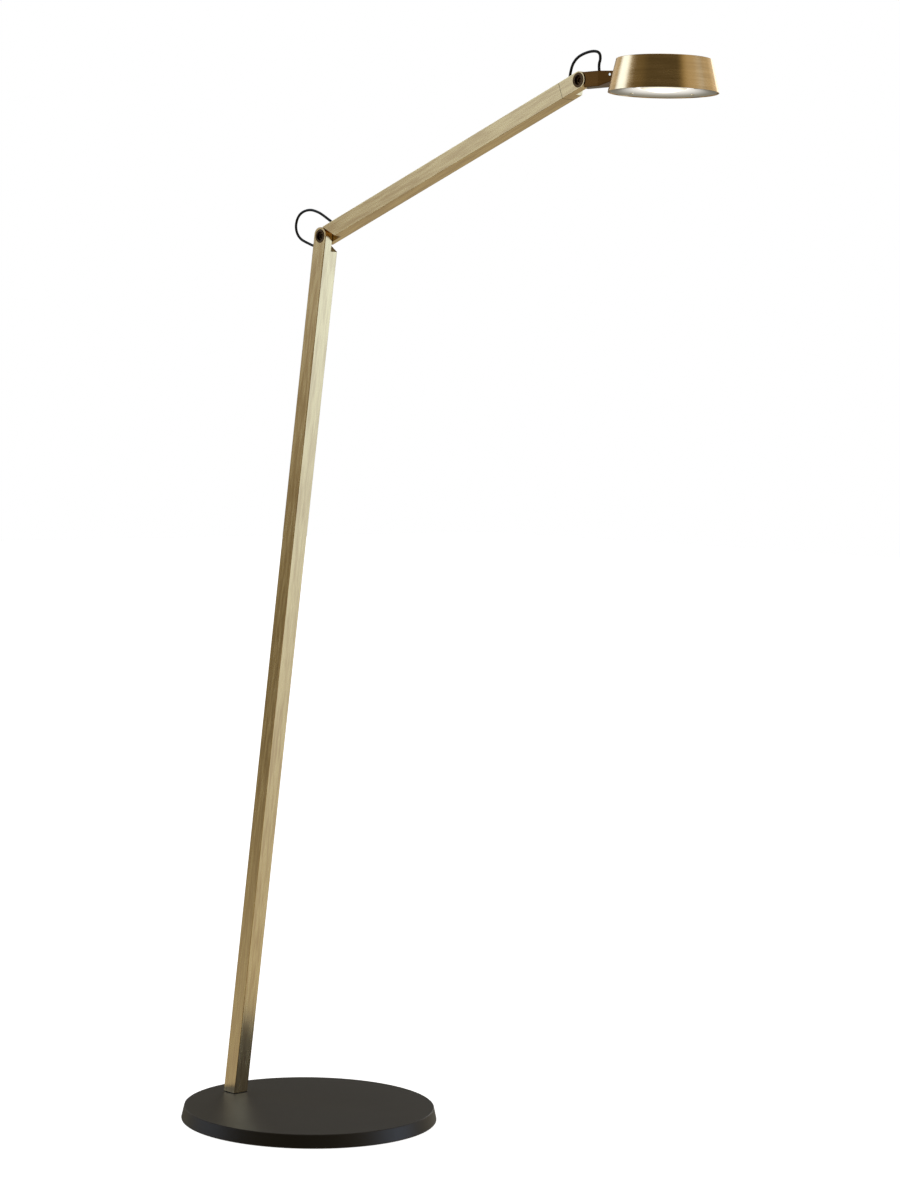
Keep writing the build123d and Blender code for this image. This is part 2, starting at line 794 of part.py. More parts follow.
with BuildPart() as heat_sink:
    with BuildSketch(head_plane(sink_level)):
        Circle(sink_radius)
        with Locations((lead_drop_reach - head_reach, 0)):
            Circle(channel_radius, mode=Mode.SUBTRACT)
        screw_circles(bezel_screw_radius, Mode.SUBTRACT)
    extrude(amount=sink_plate)
    with BuildSketch(head_plane(sink_top)):
        Circle(sink_hub_radius)
        with PolarLocations(0, sink_fin_count):
            Rectangle(sink_fin_reach, sink_fin_thickness, align=(Align.MIN, Align.CENTER))
    extrude(amount=pad_level - sink_top)
save(heat_sink.part, "heat_sink")

bezel_radius = drum_radius(bezel_top) - drum_wall - bezel_clearance
dish_level = bezel_level + bezel_rise
lens_level = dish_level + lens_seat
lens_socket = bezel_opening + lens_lip
lens_radius = lens_socket - seat_clearance
screw_spot = bezel_screw_head_radius + seat_clearance
spot_share = (bezel_radius - bezel_screw_circle + screw_spot) / (bezel_radius - bezel_opening)
screw_seat = bezel_level + bezel_rise * spot_share + bezel_spot_depth

with BuildPart() as bezel:
    with BuildSketch(head_view):
        with BuildLine():
            Polyline(
                (bezel_opening, dish_level),
                (bezel_radius, bezel_level),
                (bezel_radius, bezel_top),
                (lens_socket, dish_level + bezel_thickness),
                (lens_socket, lens_level),
                (bezel_opening, lens_level),
                close=True,
            )
        make_face()
    revolve(axis=head_axis)
    boss_level = screw_seat + bezel_thickness / 2
    with BuildSketch(head_plane(boss_level)):
        screw_circles(bezel_boss_radius)
    extrude(amount=sink_level - boss_level)
    with BuildSketch(head_plane(screw_seat)):
        screw_circles(screw_spot)
    extrude(amount=-overrun, mode=Mode.SUBTRACT)
    with BuildSketch(head_plane(screw_seat)):
        screw_circles(bezel_screw_radius)
    extrude(amount=sink_level - screw_seat, mode=Mode.SUBTRACT)
save(bezel.part, "bezel")

with BuildPart() as bezel_screws:
    with BuildSketch(head_plane(screw_seat)):
        screw_circles(bezel_screw_head_radius)
    extrude(amount=-bezel_screw_head_height)
    with BuildSketch(head_plane(screw_seat)):
        screw_circles(bezel_screw_radius)
    extrude(amount=sink_level + bezel_screw_grip - screw_seat)
save(bezel_screws.part, "bezel_screws")

with BuildPart() as lens:
    with BuildSketch(head_view):
        with BuildLine():
            rim = Line((lens_radius, lens_level + lens_edge), (lens_radius, lens_level))
            lip = Line(rim @ 1, (bezel_opening - seat_clearance, lens_level))
            TangentArc((0, lens_level - lens_crown), lip @ 1, tangent=(1, 0))
            Polyline((0, lens_level - lens_crown), (0, lens_level + lens_edge), rim @ 0)
        make_face()
    revolve(axis=head_axis)
save(lens.part, "lens")

board_level = sink_level - board_thickness
lens_top = lens_level + lens_edge

with BuildPart() as reflector:
    with BuildSketch(head_view):
        with BuildLine():
            Polyline(
                (chip_radius + seat_clearance, board_level),
                (bezel_opening - reflector_wall, lens_top),
                (bezel_opening, lens_top),
                (chip_radius + seat_clearance + reflector_wall, board_level),
                close=True,
            )
        make_face()
    revolve(axis=head_axis)
save(reflector.part, "reflector")
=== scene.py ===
"""Finishes, free cable loops and studio for a floor-standing reading lamp."""

import json
from math import cos, pi, radians, sin

import bpy
from mathutils import Matrix, Vector


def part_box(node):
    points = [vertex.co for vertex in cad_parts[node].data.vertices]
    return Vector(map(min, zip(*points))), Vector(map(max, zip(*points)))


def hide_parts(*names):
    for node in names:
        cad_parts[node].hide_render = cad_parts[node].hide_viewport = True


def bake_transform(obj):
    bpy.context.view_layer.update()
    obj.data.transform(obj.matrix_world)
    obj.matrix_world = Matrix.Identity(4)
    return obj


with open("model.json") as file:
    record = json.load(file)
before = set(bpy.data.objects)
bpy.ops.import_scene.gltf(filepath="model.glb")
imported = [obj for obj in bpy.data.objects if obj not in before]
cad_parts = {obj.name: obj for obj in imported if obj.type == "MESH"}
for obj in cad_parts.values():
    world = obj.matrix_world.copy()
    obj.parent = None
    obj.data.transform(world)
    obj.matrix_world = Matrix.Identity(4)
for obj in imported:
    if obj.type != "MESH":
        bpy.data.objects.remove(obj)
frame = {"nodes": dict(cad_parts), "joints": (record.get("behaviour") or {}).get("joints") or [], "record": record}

bl_info = {
    "name": "Reading Lamp Finishes",
    "version": (1, 0, 0),
    "blender": (4, 5, 0),
    "location": "View3D > Sidebar > Lamp",
    "description": "Dresses a reading lamp in brushed brass, black powder coat and its cable loops",
    "category": "Object",
}

# Directions of the frame
FORWARD = Vector((1, 0, 0))
LEFT = Vector((0, 1, 0))
UP = Vector((0, 0, 1))

# Places that the frame gives, in metres
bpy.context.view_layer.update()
JOINTS = {joint["name"]: joint for joint in frame["joints"]}
ELBOW = Vector(JOINTS["elbow"]["pos_m"])
TILT = Vector(JOINTS["tilt"]["pos_m"])
ARM_ALONG = Vector(JOINTS["swivel"]["axis"]).normalized()
FOOT = sum(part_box("foot_gasket"), Vector()) / 2
POLE_ALONG = (ELBOW - FOOT).normalized()
NECK_ALONG = FORWARD
HEAD_CENTRE = sum(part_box("head_shell"), Vector()) / 2
LENS_CENTRE = sum(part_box("lens"), Vector()) / 2

# Colours that the record gives its material slots
SLOT_COLOURS = {
    entry["slot"]: tuple(entry["base_color"][:3]) for entry in frame["record"]["materials"]
}

# How far the cable's free loops lie to the near side of their pivots, in millimetres
MILLIMETRE = 0.001
CABLE_NEAR = 2.5

# The routes of the two loops, as forward and up from their pivot in millimetres
ELBOW_LOOP_ROUTE = [
    (-11.8, -12.5), (-28.5, -7.6), (-46.0, -0.5), (-52.3, 13.0), (-45.8, 27.0),
    (-28.5, 31.8), (-11.8, 28.0), (0.5, 22.0), (13.8, 14.8),
]
HEAD_LOOP_ROUTE = [
    (-18.8, 2.6), (-17.5, 10.5), (-14.0, 19.0), (-6.5, 25.2), (5.0, 28.6),
    (16.0, 29.5), (24.0, 27.3), (25.6, 20.5), (22.9, 14.5), (24.1, 8.0),
]


class Wire:
    """A shader socket that can be used in Python sums."""

    def __init__(self, bench, socket):
        self.bench = bench
        self.socket = socket

    def __add__(self, other):
        return self.bench.maths("ADD", self, other)

    __radd__ = __add__

    def __sub__(self, other):
        return self.bench.maths("SUBTRACT", self, other)

    def __rsub__(self, other):
        return self.bench.maths("SUBTRACT", other, self)

    def __mul__(self, other):
        return self.bench.maths("MULTIPLY", self, other)

    __rmul__ = __mul__


class NodeBench:
    """Adds nodes to one node tree."""

    def __init__(self, tree):
        self.tree = tree
        tree.nodes.clear()

    def node(self, kind, settings=None, sockets=None, output=0):
        """Add a node: its settings first, then the values or links of its sockets."""
        made = self.tree.nodes.new(kind)
        for name, value in (settings or {}).items():
            setattr(made, name, value)
        for name, value in (sockets or {}).items():
            self.feed(made.inputs[name], value)
        return Wire(self, made.outputs[output]) if made.outputs else made

    def feed(self, socket, value):
        """Link a wire to a socket, or set the socket's own value."""
        if isinstance(value, Wire):
            self.tree.links.new(value.socket, socket)
        elif socket.type == "RGBA" and len(value) == 3:
            socket.default_value = (*value, 1)
        else:
            socket.default_value = value

    def maths(self, operation, *values):
        """One step of a sum on values."""
        return self.node("ShaderNodeMath", {"operation": operation}, dict(enumerate(values)))

    def hypotenuse(self, first, second):
        """Long side over two sides square to each other."""
        return self.maths("SQRT", first * first + second * second)

    def dot(self, vector, direction):
        """How far a vector reaches along a direction."""
        sockets = {0: vector, 1: tuple(direction)}
        return self.node("ShaderNodeVectorMath", {"operation": "DOT_PRODUCT"}, sockets, "Value")

    def vector(self, x, y, z):
        """A vector from three values."""
        return self.node("ShaderNodeCombineXYZ", None, {"X": x, "Y": y, "Z": z})

    def noise(self, vector, scale=1.0, detail=2.0, roughness=0.5):
        """Soft noise from 0 to 1."""
        sockets = {"Vector": vector, "Scale": scale, "Detail": detail, "Roughness": roughness}
        return self.node("ShaderNodeTexNoise", None, sockets, "Fac")

    def ramp(self, value, low, high):
        """Smooth step from 0 at low to 1 at high."""
        sockets = {"Value": value, "From Min": low, "From Max": high}
        return self.node("ShaderNodeMapRange", {"interpolation_type": "SMOOTHSTEP"}, sockets)

    def blend(self, share, first, second):
        """Mix two colours."""
        settings = {"data_type": "RGBA", "clamp_factor": True}
        return self.node("ShaderNodeMix", settings, {0: share, 6: first, 7: second}, 2)

    def tint(self, share, colour, darker, lighter):
        """A colour that varies between a darker and a lighter tone of itself."""
        return self.blend(share, scaled(colour, darker), scaled(colour, lighter))


class Finish(NodeBench):
    """One material, built from sums and nodes."""

    def __init__(self, name, **constants):
        self.material = bpy.data.materials.new(name)
        self.material.use_nodes = True
        super().__init__(self.material.node_tree)
        surface = self.node("ShaderNodeBsdfPrincipled")
        self.inputs = surface.socket.node.inputs
        self.node("ShaderNodeOutputMaterial", None, {"Surface": surface})
        for constant, value in constants.items():
            self.set(constant.replace("_", " ").title().replace("Ior", "IOR"), value)

    def set(self, name, value):
        """Set or link one of the surface's sockets."""
        self.feed(self.inputs[name], value)

    def place(self, centre=(0, 0, 0)):
        """Position on the lamp in metres, from a centre."""
        coordinates = self.node("ShaderNodeTexCoord", None, None, "Object")
        sockets = {0: coordinates, 1: tuple(centre)}
        return self.node("ShaderNodeVectorMath", {"operation": "SUBTRACT"}, sockets, "Vector")

    def roughen(self, share, smooth, rough):
        """Roughness between that of a smooth and of a rough place."""
        self.set("Roughness", smooth + share * (rough - smooth))

    def bump(self, height, strength, depth):
        """Raise the surface by a height from 0 to 1."""
        sockets = {"Height": height, "Strength": strength, "Distance": depth}
        self.set("Normal", self.node("ShaderNodeBump", None, sockets))

    def around(self, centre):
        """Radius, turn and height about an upright axis."""
        place = self.place(centre)
        forward, left, height = (self.dot(place, way) for way in (FORWARD, LEFT, UP))
        return self.hypotenuse(forward, left), self.maths("ARCTAN2", left, forward), height


def scaled(colour, factor):
    """A colour made lighter or darker."""
    return tuple(min(1.0, channel * factor) for channel in colour)


def across(along):
    """Two directions square to one direction."""
    side = along.cross(LEFT).normalized()
    return side, along.cross(side).normalized()


def bearing(azimuth, elevation):
    """Unit vector to a place round the lamp, in degrees from +X and above the floor."""
    turn, rise = radians(azimuth), radians(elevation)
    return Vector((cos(rise) * cos(turn), cos(rise) * sin(turn), sin(rise)))


def cover(finish, *nodes):
    """Give CAD nodes a finish in every one of their material slots."""
    for name in nodes:
        slots = frame["nodes"][name].data.materials
        slots.clear()
        slots.append(finish.material)


# Finishes

# Brushed brass: streaks, bands and clouds per metre across the brushing, and new streaks along it
BRASS_STREAK = 1500.0
BRASS_BAND = 300.0
BRASS_CLOUD = 9.0
BRASS_STRETCH = 28.0
# How far its tones part on the bars and on the drum, and metres for each radian round the drum
BAR_CONTRAST = 0.3
DRUM_CONTRAST = 0.14
DRUM_TURN = 0.03
# How far its roughness and that of the plain surfaces stray to both sides, and that of the base upward
BRASS_SPREAD = 0.05
GRAIN_SPREAD = 0.04
POWDER_SPREAD = 0.06
# Fine grains across one broad grain of the plain surfaces
GRAINS_ACROSS = 12
# Depth of brushing and of finer grain, and the pitch of the bolts' lathe rings, in metres
BRUSH_DEPTH = 0.0002
GRAIN_DEPTH = 0.0001
LATHE_PITCH = 0.0007
# Wear of the bolts, orange peel and clouds of the base, and rings of the light unit, per metre
WEAR_GRAIN = 900.0
PEEL_GRAIN = 1900.0
POWDER_CLOUD = 14.0
SATIN_RING = 1800.0
LENS_RING = 900.0
# How often the light unit's rings and the lens's prisms change round their axis, per radian
SATIN_TURN = 0.8
LENS_TURN = 14.0
# Where the lens's light starts and stops fading, on the metal as a painted glow and on the lens, in glow radii
SPILL_FADE = (0.8, 1.95)
LENS_FADE = (0.45, 1.05)
# Light of the lens's edge beside its middle, and colours of the spilt light painted as a glow on the metal and of
# the lens
EDGE_GLOW = 0.12
SPILL_COLOUR = (1.0, 0.98, 0.95)
LENS_MIDDLE = (0.95, 0.93, 0.86)
LENS_EDGE = (0.72, 0.72, 0.7)
# Colours of the small screws and of what the powder coat reflects
POLISHED_STEEL = (0.95, 0.82, 0.66)
POWDER_SHEEN = (1.0, 0.88, 0.75)
BLACK = (0.0, 0.0, 0.0)
WHITE = (1.0, 1.0, 1.0)
# Turn of stretched highlights that lays them along an upright axis, in whole turns
QUARTER_TURN = 0.25


def brass_tones(finish, settings, colour, contrast, lengthwise, side, other):
    """Tones, roughness and relief of brass brushed lengthwise, in streaks, bands and clouds."""
    stretched = lengthwise * BRASS_STRETCH
    fine = finish.vector(stretched, side * BRASS_STREAK, other * BRASS_STREAK)
    wide = finish.vector(stretched, side * BRASS_BAND, other * BRASS_BAND)
    streaks = finish.noise(fine, detail=3.0, roughness=0.6)
    bands = finish.ramp(finish.noise(wide), low=0.3, high=0.7)
    clouds = finish.noise(finish.place(), BRASS_CLOUD)
    tone = streaks * 0.2 + bands * 0.5 + clouds * 0.3
    middle = settings.brass_roughness
    finish.set("Base Color", finish.tint(tone, colour, darker=1 - contrast, lighter=1 + contrast))
    finish.roughen(streaks * 0.6 + bands * 0.4, middle - BRASS_SPREAD, middle + BRASS_SPREAD)
    finish.bump(streaks * 0.3 + bands * 0.7, strength=0.03, depth=BRUSH_DEPTH)


def brushed_brass(name, settings, colour, along):
    """Brass brushed along a bar."""
    finish = Finish(name, metallic=1.0)
    place = finish.place()
    lengthwise, side, other = (finish.dot(place, way) for way in (along, *across(along)))
    brass_tones(finish, settings, colour, BAR_CONTRAST, lengthwise, side, other)
    return finish


def turned_brass(name, settings, colour, centre):
    """Brass brushed round an upright axis on a lathe."""
    finish = Finish(
        name, metallic=1.0, anisotropic=settings.turning, anisotropic_rotation=QUARTER_TURN
    )
    radius, turn, height = finish.around(centre)
    brass_tones(finish, settings, colour, DRUM_CONTRAST, turn * DRUM_TURN, radius, height)
    return finish


def turned_face(name, colour, pivot):
    """Dark metal with fine lathe rings about a level pivot."""
    finish = Finish(name, metallic=1.0)
    place = finish.place(pivot)
    radius = finish.hypotenuse(finish.dot(place, FORWARD), finish.dot(place, UP))
    rings = finish.maths("SINE", radius * (2 * pi / LATHE_PITCH)) * 0.5 + 0.5
    wear = finish.noise(place, WEAR_GRAIN)
    tone = rings * 0.5 + wear * 0.5
    finish.set("Base Color", finish.tint(tone, colour, darker=0.7, lighter=1.4))
    finish.roughen(wear, smooth=0.32, rough=0.47)
    finish.bump(rings, strength=0.25, depth=GRAIN_DEPTH)
    return finish


def powder_coat(name, settings):
    """Matt black powder coat with its fine orange peel."""
    finish = Finish(name, specular_ior_level=0.65, specular_tint=POWDER_SHEEN)
    place = finish.place()
    peel = finish.noise(place, PEEL_GRAIN)
    clouds = finish.noise(place, POWDER_CLOUD)
    tone = peel * 0.4 + clouds * 0.6
    smooth = settings.powder_roughness
    finish.set("Base Color", finish.tint(tone, settings.powder, darker=0.8, lighter=1.25))
    finish.roughen(clouds, smooth, smooth + POWDER_SPREAD)
    finish.bump(peel, strength=0.1, depth=GRAIN_DEPTH)
    return finish


def grained(name, colour, roughness, grain, relief, metallic=0.0):
    """Plain moulded, cast or coated surface with a fine grain."""
    finish = Finish(name, metallic=metallic, specular_ior_level=0.3)
    place = finish.place()
    fine = finish.noise(place, grain, detail=3.0)
    broad = finish.noise(place, grain / GRAINS_ACROSS)
    tone = fine * 0.5 + broad * 0.5
    finish.set("Base Color", finish.tint(tone, colour, darker=0.8, lighter=1.2))
    finish.roughen(broad, roughness - GRAIN_SPREAD, roughness + GRAIN_SPREAD)
    finish.bump(fine, strength=relief, depth=GRAIN_DEPTH)
    return finish


def grained_slot(name, slot, **surface):
    """A plain grained surface in the colour that the record gives a slot."""
    return grained(name, SLOT_COLOURS[slot], **surface)


def satin_ring(name, settings, slot):
    """Satin metal turned round the head's axis, with the lens's light on it painted as a glow."""
    finish = Finish(name, metallic=1.0, emission_strength=settings.painted_spill)
    radius, turn, height = finish.around(HEAD_CENTRE)
    stretched = finish.vector(turn * SATIN_TURN, radius * SATIN_RING, height * SATIN_RING)
    rings = finish.noise(stretched)
    finish.set("Base Color", finish.tint(rings, SLOT_COLOURS[slot], darker=0.9, lighter=1.1))
    finish.roughen(rings, smooth=0.14, rough=0.24)
    finish.bump(rings, strength=0.08, depth=GRAIN_DEPTH)
    # Painted light: the metal glows round the lens and fades outward, in place of the lens's light falling on it
    lit = 1 - finish.ramp(radius, *(settings.glow_radius * reach for reach in SPILL_FADE))
    finish.set("Emission Color", finish.blend(lit, BLACK, SPILL_COLOUR))
    return finish


def glowing_lens(name, settings):
    """Frosted lens, brightest in the middle."""
    finish = Finish(name, emission_strength=settings.glow_strength)
    radius, turn, height = finish.around(LENS_CENTRE)
    edge = finish.ramp(radius, *(settings.glow_radius * reach for reach in LENS_FADE))
    prisms = finish.noise(finish.vector(turn * LENS_TURN, radius * LENS_RING, height), detail=1.0)
    dim_glow = scaled(settings.glow, EDGE_GLOW)
    finish.set("Base Color", finish.blend(edge, LENS_MIDDLE, LENS_EDGE))
    finish.set("Emission Color", finish.blend(edge, settings.glow, dim_glow))
    finish.roughen(prisms, smooth=0.18, rough=0.32)
    return finish


# What a user may change

class LampFinishSettings(bpy.types.PropertyGroup):
    """Colours and surface of the lamp's finishes."""

    brass: bpy.props.FloatVectorProperty(
        name="Brass", description="Colour of the brushed brass", subtype="COLOR", size=3,
        default=(0.86, 0.6, 0.31), min=0, max=1,
    )
    brass_roughness: bpy.props.FloatProperty(
        name="Brass Roughness", description="How far the brushing spreads reflections",
        subtype="FACTOR", default=0.25, min=0, max=1,
    )
    turning: bpy.props.FloatProperty(
        name="Turning", description="Stretch of highlights along the drum's axis", subtype="FACTOR",
        default=0.6, min=0, max=1,
    )
    # Painted shade: the neck's brass gets a darker colour in place of the shade and dark reflections that fall on
    # it
    shaded_neck_brass: bpy.props.FloatVectorProperty(
        name="Dark Brass", description="Colour of the shade-painted brass of the neck", subtype="COLOR",
        size=3, default=(0.13, 0.057, 0.012), min=0, max=1,
    )
    bronze: bpy.props.FloatVectorProperty(
        name="Bronze", description="Colour of the dark bolts of the pivots", subtype="COLOR", size=3,
        default=(0.12, 0.07, 0.032), min=0, max=1,
    )
    powder: bpy.props.FloatVectorProperty(
        name="Powder Coat", description="Colour of the base", subtype="COLOR", size=3,
        default=(0.013, 0.0145, 0.018), min=0, max=1,
    )
    powder_roughness: bpy.props.FloatProperty(
        name="Powder Roughness", description="How matt the base is", subtype="FACTOR",
        default=0.42, min=0, max=1,
    )
    glow: bpy.props.FloatVectorProperty(
        name="Glow", description="Colour of the light", subtype="COLOR", size=3,
        default=(1.0, 0.92, 0.74), min=0, max=1,
    )
    glow_strength: bpy.props.FloatProperty(
        name="Glow Strength", description="Brightness of the lens", default=1.6, min=0,
    )
    # Painted glow that the reflector and bezel give off near the lens
    painted_spill: bpy.props.FloatProperty(
        name="Spill", description="Light of the lens on the metal round it", default=0.8, min=0,
    )
    glow_radius: bpy.props.FloatProperty(
        name="Glow Radius", description="Radius of the bright middle of the lens", unit="LENGTH",
        default=0.026, min=0.001,
    )


class LampCableSettings(bpy.types.PropertyGroup):
    """Size of the free cable."""

    diameter: bpy.props.FloatProperty(
        name="Diameter", description="Diameter of the cable", unit="LENGTH",
        default=0.003, min=0.0005,
    )
    steps: bpy.props.IntProperty(
        name="Steps", description="Steps between two points of the route", default=12, min=2,
    )


class LampStageSettings(bpy.types.PropertyGroup):
    """Camera, floor and soft light round the lamp."""

    camera_place: bpy.props.FloatVectorProperty(
        name="Camera", description="Where the camera stands", subtype="TRANSLATION", unit="LENGTH",
        size=3, default=(2.63926, -2.30332, 0.83573),
    )
    heading: bpy.props.FloatProperty(
        name="Heading", description="Turn of the camera's right side from +X", subtype="ANGLE",
        default=radians(46.388),
    )
    pitch: bpy.props.FloatProperty(
        name="Pitch", description="How far the camera looks down", subtype="ANGLE",
        default=radians(3.628),
    )
    roll: bpy.props.FloatProperty(
        name="Roll", description="How far the picture's right side hangs down", subtype="ANGLE",
        default=radians(1.2),
    )
    lens: bpy.props.FloatProperty(
        name="Lens", description="Focal length on the 36 mm side of the picture", unit="CAMERA",
        default=90.514,
    )
    floor_span: bpy.props.FloatProperty(
        name="Floor", description="Width of the floor", unit="LENGTH", default=24.0, min=1,
    )
    ambient: bpy.props.FloatProperty(
        name="Ambient", description="Light of the dim parts of the studio", default=0.08, min=0,
    )


# Operators

class LAMP_OT_dress_metal(bpy.types.Operator):
    """Give the bars, the neck and the drum their brushed brass, the neck's painted darker as painted shade"""

    bl_idname = "lamp.dress_metal"
    bl_label = "Dress Brass"

    def execute(self, context):
        settings = context.scene.lamp_finish
        brass = settings.brass
        cover(brushed_brass("brass_pole", settings, brass, POLE_ALONG), "pole_tube", "pole_core")
        arm_brass = brushed_brass("brass_arm", settings, brass, ARM_ALONG)
        cover(arm_brass, "arm_tube", "arm_core", "arm_knuckle")
        # The neck's darker brass is painted shade
        cover(brushed_brass("shaded_brass_neck", settings, settings.shaded_neck_brass, NECK_ALONG), "neck")
        cover(turned_brass("brass_drum", settings, brass, HEAD_CENTRE), "head_shell")
        return {"FINISHED"}


class LAMP_OT_dress_base(bpy.types.Operator):
    """Give the base its powder coat, and its underlay and gasket their rubber"""

    bl_idname = "lamp.dress_base"
    bl_label = "Dress Base"

    def execute(self, context):
        cover(powder_coat("powder_coat", context.scene.lamp_finish), "base_disc")
        rubber = grained_slot("underlay", "underlay", roughness=0.8, grain=1200.0, relief=0.3)
        cover(rubber, "base_pad", "foot_gasket")
        return {"FINISHED"}


class LAMP_OT_dress_pivots(bpy.types.Operator):
    """Give the pivots and fasteners their dark and bright metals and bearing plastic"""

    bl_idname = "lamp.dress_pivots"
    bl_label = "Dress Pivots"

    def execute(self, context):
        dark = context.scene.lamp_finish.bronze
        cover(turned_face("bronze_elbow", dark, ELBOW), "elbow_bolt", "elbow_nut")
        cover(turned_face("bronze_tilt", dark, TILT), "tilt_bolt", "tilt_nut")
        steel = grained_slot(
            "bright_steel", "steel", roughness=0.22, grain=2500.0, relief=0.08, metallic=1.0
        )
        cover(
            steel, "pole_bolt", "bolt_washer", "foot_insert", "elbow_spring", "tilt_spring",
            "swivel_spring", "swivel_nut", "nipple_nut", "neck_nipple",
        )
        polished = grained(
            "polished_steel", POLISHED_STEEL, roughness=0.14, grain=2500.0, relief=0.04, metallic=1.0
        )
        cover(polished, "set_screw", "bezel_screws")
        plastic = grained_slot(
            "bearing_plastic", "bearing_plastic", roughness=0.5, grain=1500.0, relief=0.15
        )
        cover(
            plastic, "elbow_washer", "tilt_washer", "swivel_washer", "swivel_bush", "nipple_saddle"
        )
        return {"FINISHED"}


class LAMP_OT_dress_light(bpy.types.Operator):
    """Give the light unit its aluminium, board, emitter, bezel and glowing lens, with the lens's light painted as
    a glow on the reflector and bezel
    """

    bl_idname = "lamp.dress_light"
    bl_label = "Dress Light"

    def execute(self, context):
        settings = context.scene.lamp_finish
        aluminium = grained_slot(
            "cast_aluminium", "cast_aluminium", roughness=0.45, grain=800.0, relief=0.2, metallic=1.0
        )
        cover(aluminium, "heat_sink")
        pad = grained_slot("thermal_pad", "grey_pad", roughness=0.7, grain=900.0, relief=0.2)
        cover(pad, "thermal_pad")
        mask = grained_slot("solder_mask", "white_board", roughness=0.4, grain=700.0, relief=0.05)
        cover(mask, "led_board")
        phosphor = grained_slot("phosphor", "emitter", roughness=0.3, grain=1500.0, relief=0.1)
        cover(phosphor, "led_chip")
        cover(satin_ring("reflector_metal", settings, "bright_reflector"), "reflector")
        cover(satin_ring("bezel_metal", settings, "satin_bezel"), "bezel")
        cover(glowing_lens("lens_glow", settings), "lens")
        return {"FINISHED"}


# How finely Blender rounds the cable's outline
CABLE_BEVEL = 4


def beside(pivot, forward, up):
    """A place in the cable's plane, forward and up from a pivot."""
    return pivot + Vector((forward, -CABLE_NEAR, up)) * MILLIMETRE


def loop_curve(name, pivot, route, steps):
    """The route of a cable loop as a smooth open curve."""
    curve = bpy.data.curves.new(name, "CURVE")
    curve.dimensions = "3D"
    curve.resolution_u = steps
    spline = curve.splines.new("NURBS")
    spline.points.add(len(route) - 1)
    for point, (forward, up) in zip(spline.points, route):
        point.co = (*beside(pivot, forward, up), 1)
    spline.order_u = 3
    spline.use_endpoint_u = True
    spline.resolution_u = steps
    return curve


def mesh_of(curve, name):
    """The mesh that a curve draws."""
    drawn = bpy.data.objects.new(name, curve)
    mesh = bpy.data.meshes.new_from_object(drawn)
    bpy.data.objects.remove(drawn)
    return mesh


def cable_loop(name, pivot, route, settings, finish):
    """A free cable loop over a pivot, as a curved tube that takes the place of the CAD loop, which it hides."""
    curve = loop_curve(name, pivot, route, settings.steps)
    line = mesh_of(curve, name)
    curve.bevel_depth = settings.diameter / 2
    curve.bevel_resolution = CABLE_BEVEL
    curve.use_fill_caps = True
    tube = bpy.data.objects.new(name, mesh_of(curve, name))
    bpy.context.scene.collection.objects.link(tube)
    tube.data.shade_smooth()
    tube.data.materials.clear()
    tube.data.materials.append(finish.material)
    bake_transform(tube)
    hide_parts(name.removesuffix("_cable"))


class LAMP_OT_lay_cable(bpy.types.Operator):
    """Lay the free cable loops over the pivots, and dress the cable and its sleeves"""

    bl_idname = "lamp.lay_cable"
    bl_label = "Lay Cable"

    def execute(self, context):
        settings = context.scene.lamp_cable
        jacket = grained_slot("cable_jacket", "black_cable", roughness=0.36, grain=1500.0, relief=0.1)
        cover(jacket, "pole_lead", "arm_lead", "knuckle_lead", "neck_lead")
        sleeve = grained_slot("sleeve_plastic", "black_sleeve", roughness=0.4, grain=1800.0, relief=0.1)
        cover(sleeve, "cord_inlet", "pole_sleeve", "arm_sleeve", "knuckle_sleeve", "neck_sleeve")
        cable_loop(
            "elbow_loop_cable", ELBOW, ELBOW_LOOP_ROUTE,
            settings, jacket,
        )
        cable_loop(
            "head_loop_cable", TILT, HEAD_LOOP_ROUTE,
            settings, jacket,
        )
        return {"FINISHED"}


# Long side of the camera's picture in millimetres, and how far it sees in metres
PICTURE_SIDE = 36.0
VIEW_LIMIT = 100.0
# How far the floor lies under the lamp, in metres, and its own colour
FLOOR_DROP = 0.2 * MILLIMETRE
FLOOR_PAPER = (0.9, 0.9, 0.9)


def place_camera(settings):
    """Camera at the picture's own place, heading and roll."""
    heading, pitch, roll = settings.heading, settings.pitch, settings.roll
    level = Vector((cos(heading), sin(heading), 0))
    away = Vector((-sin(heading), cos(heading), 0))
    ahead = away * cos(pitch) - UP * sin(pitch)
    upright = away * sin(pitch) + UP * cos(pitch)
    right = level * cos(roll) + upright * sin(roll)
    up = upright * cos(roll) - level * sin(roll)
    camera = bpy.data.objects.new("camera", bpy.data.cameras.new("camera"))
    camera.data.sensor_fit = "VERTICAL"
    camera.data.sensor_height = PICTURE_SIDE
    camera.data.lens = settings.lens
    camera.data.clip_end = VIEW_LIMIT
    turn = Matrix((right, up, -ahead)).transposed()
    camera.matrix_world = Matrix.Translation(settings.camera_place) @ turn.to_4x4()
    bpy.context.scene.collection.objects.link(camera)
    bpy.context.scene.camera = camera


def lay_floor(settings):
    """Plain pale floor that the lamp stands on."""
    half = settings.floor_span / 2
    mesh = bpy.data.meshes.new("floor")
    corners = [(-half, -half, 0), (half, -half, 0), (half, half, 0), (-half, half, 0)]
    mesh.from_pydata(corners, [], [(0, 1, 2, 3)])
    floor = bpy.data.objects.new("floor", mesh)
    floor.location.z = -FLOOR_DROP
    floor.visible_glossy = False
    floor.visible_diffuse = False
    finish = Finish(
        "floor_paper", base_color=FLOOR_PAPER, roughness=0.9, specular_ior_level=0.1,
        emission_color=WHITE, emission_strength=0.95,
    )
    mesh.materials.append(finish.material)
    bpy.context.scene.collection.objects.link(floor)


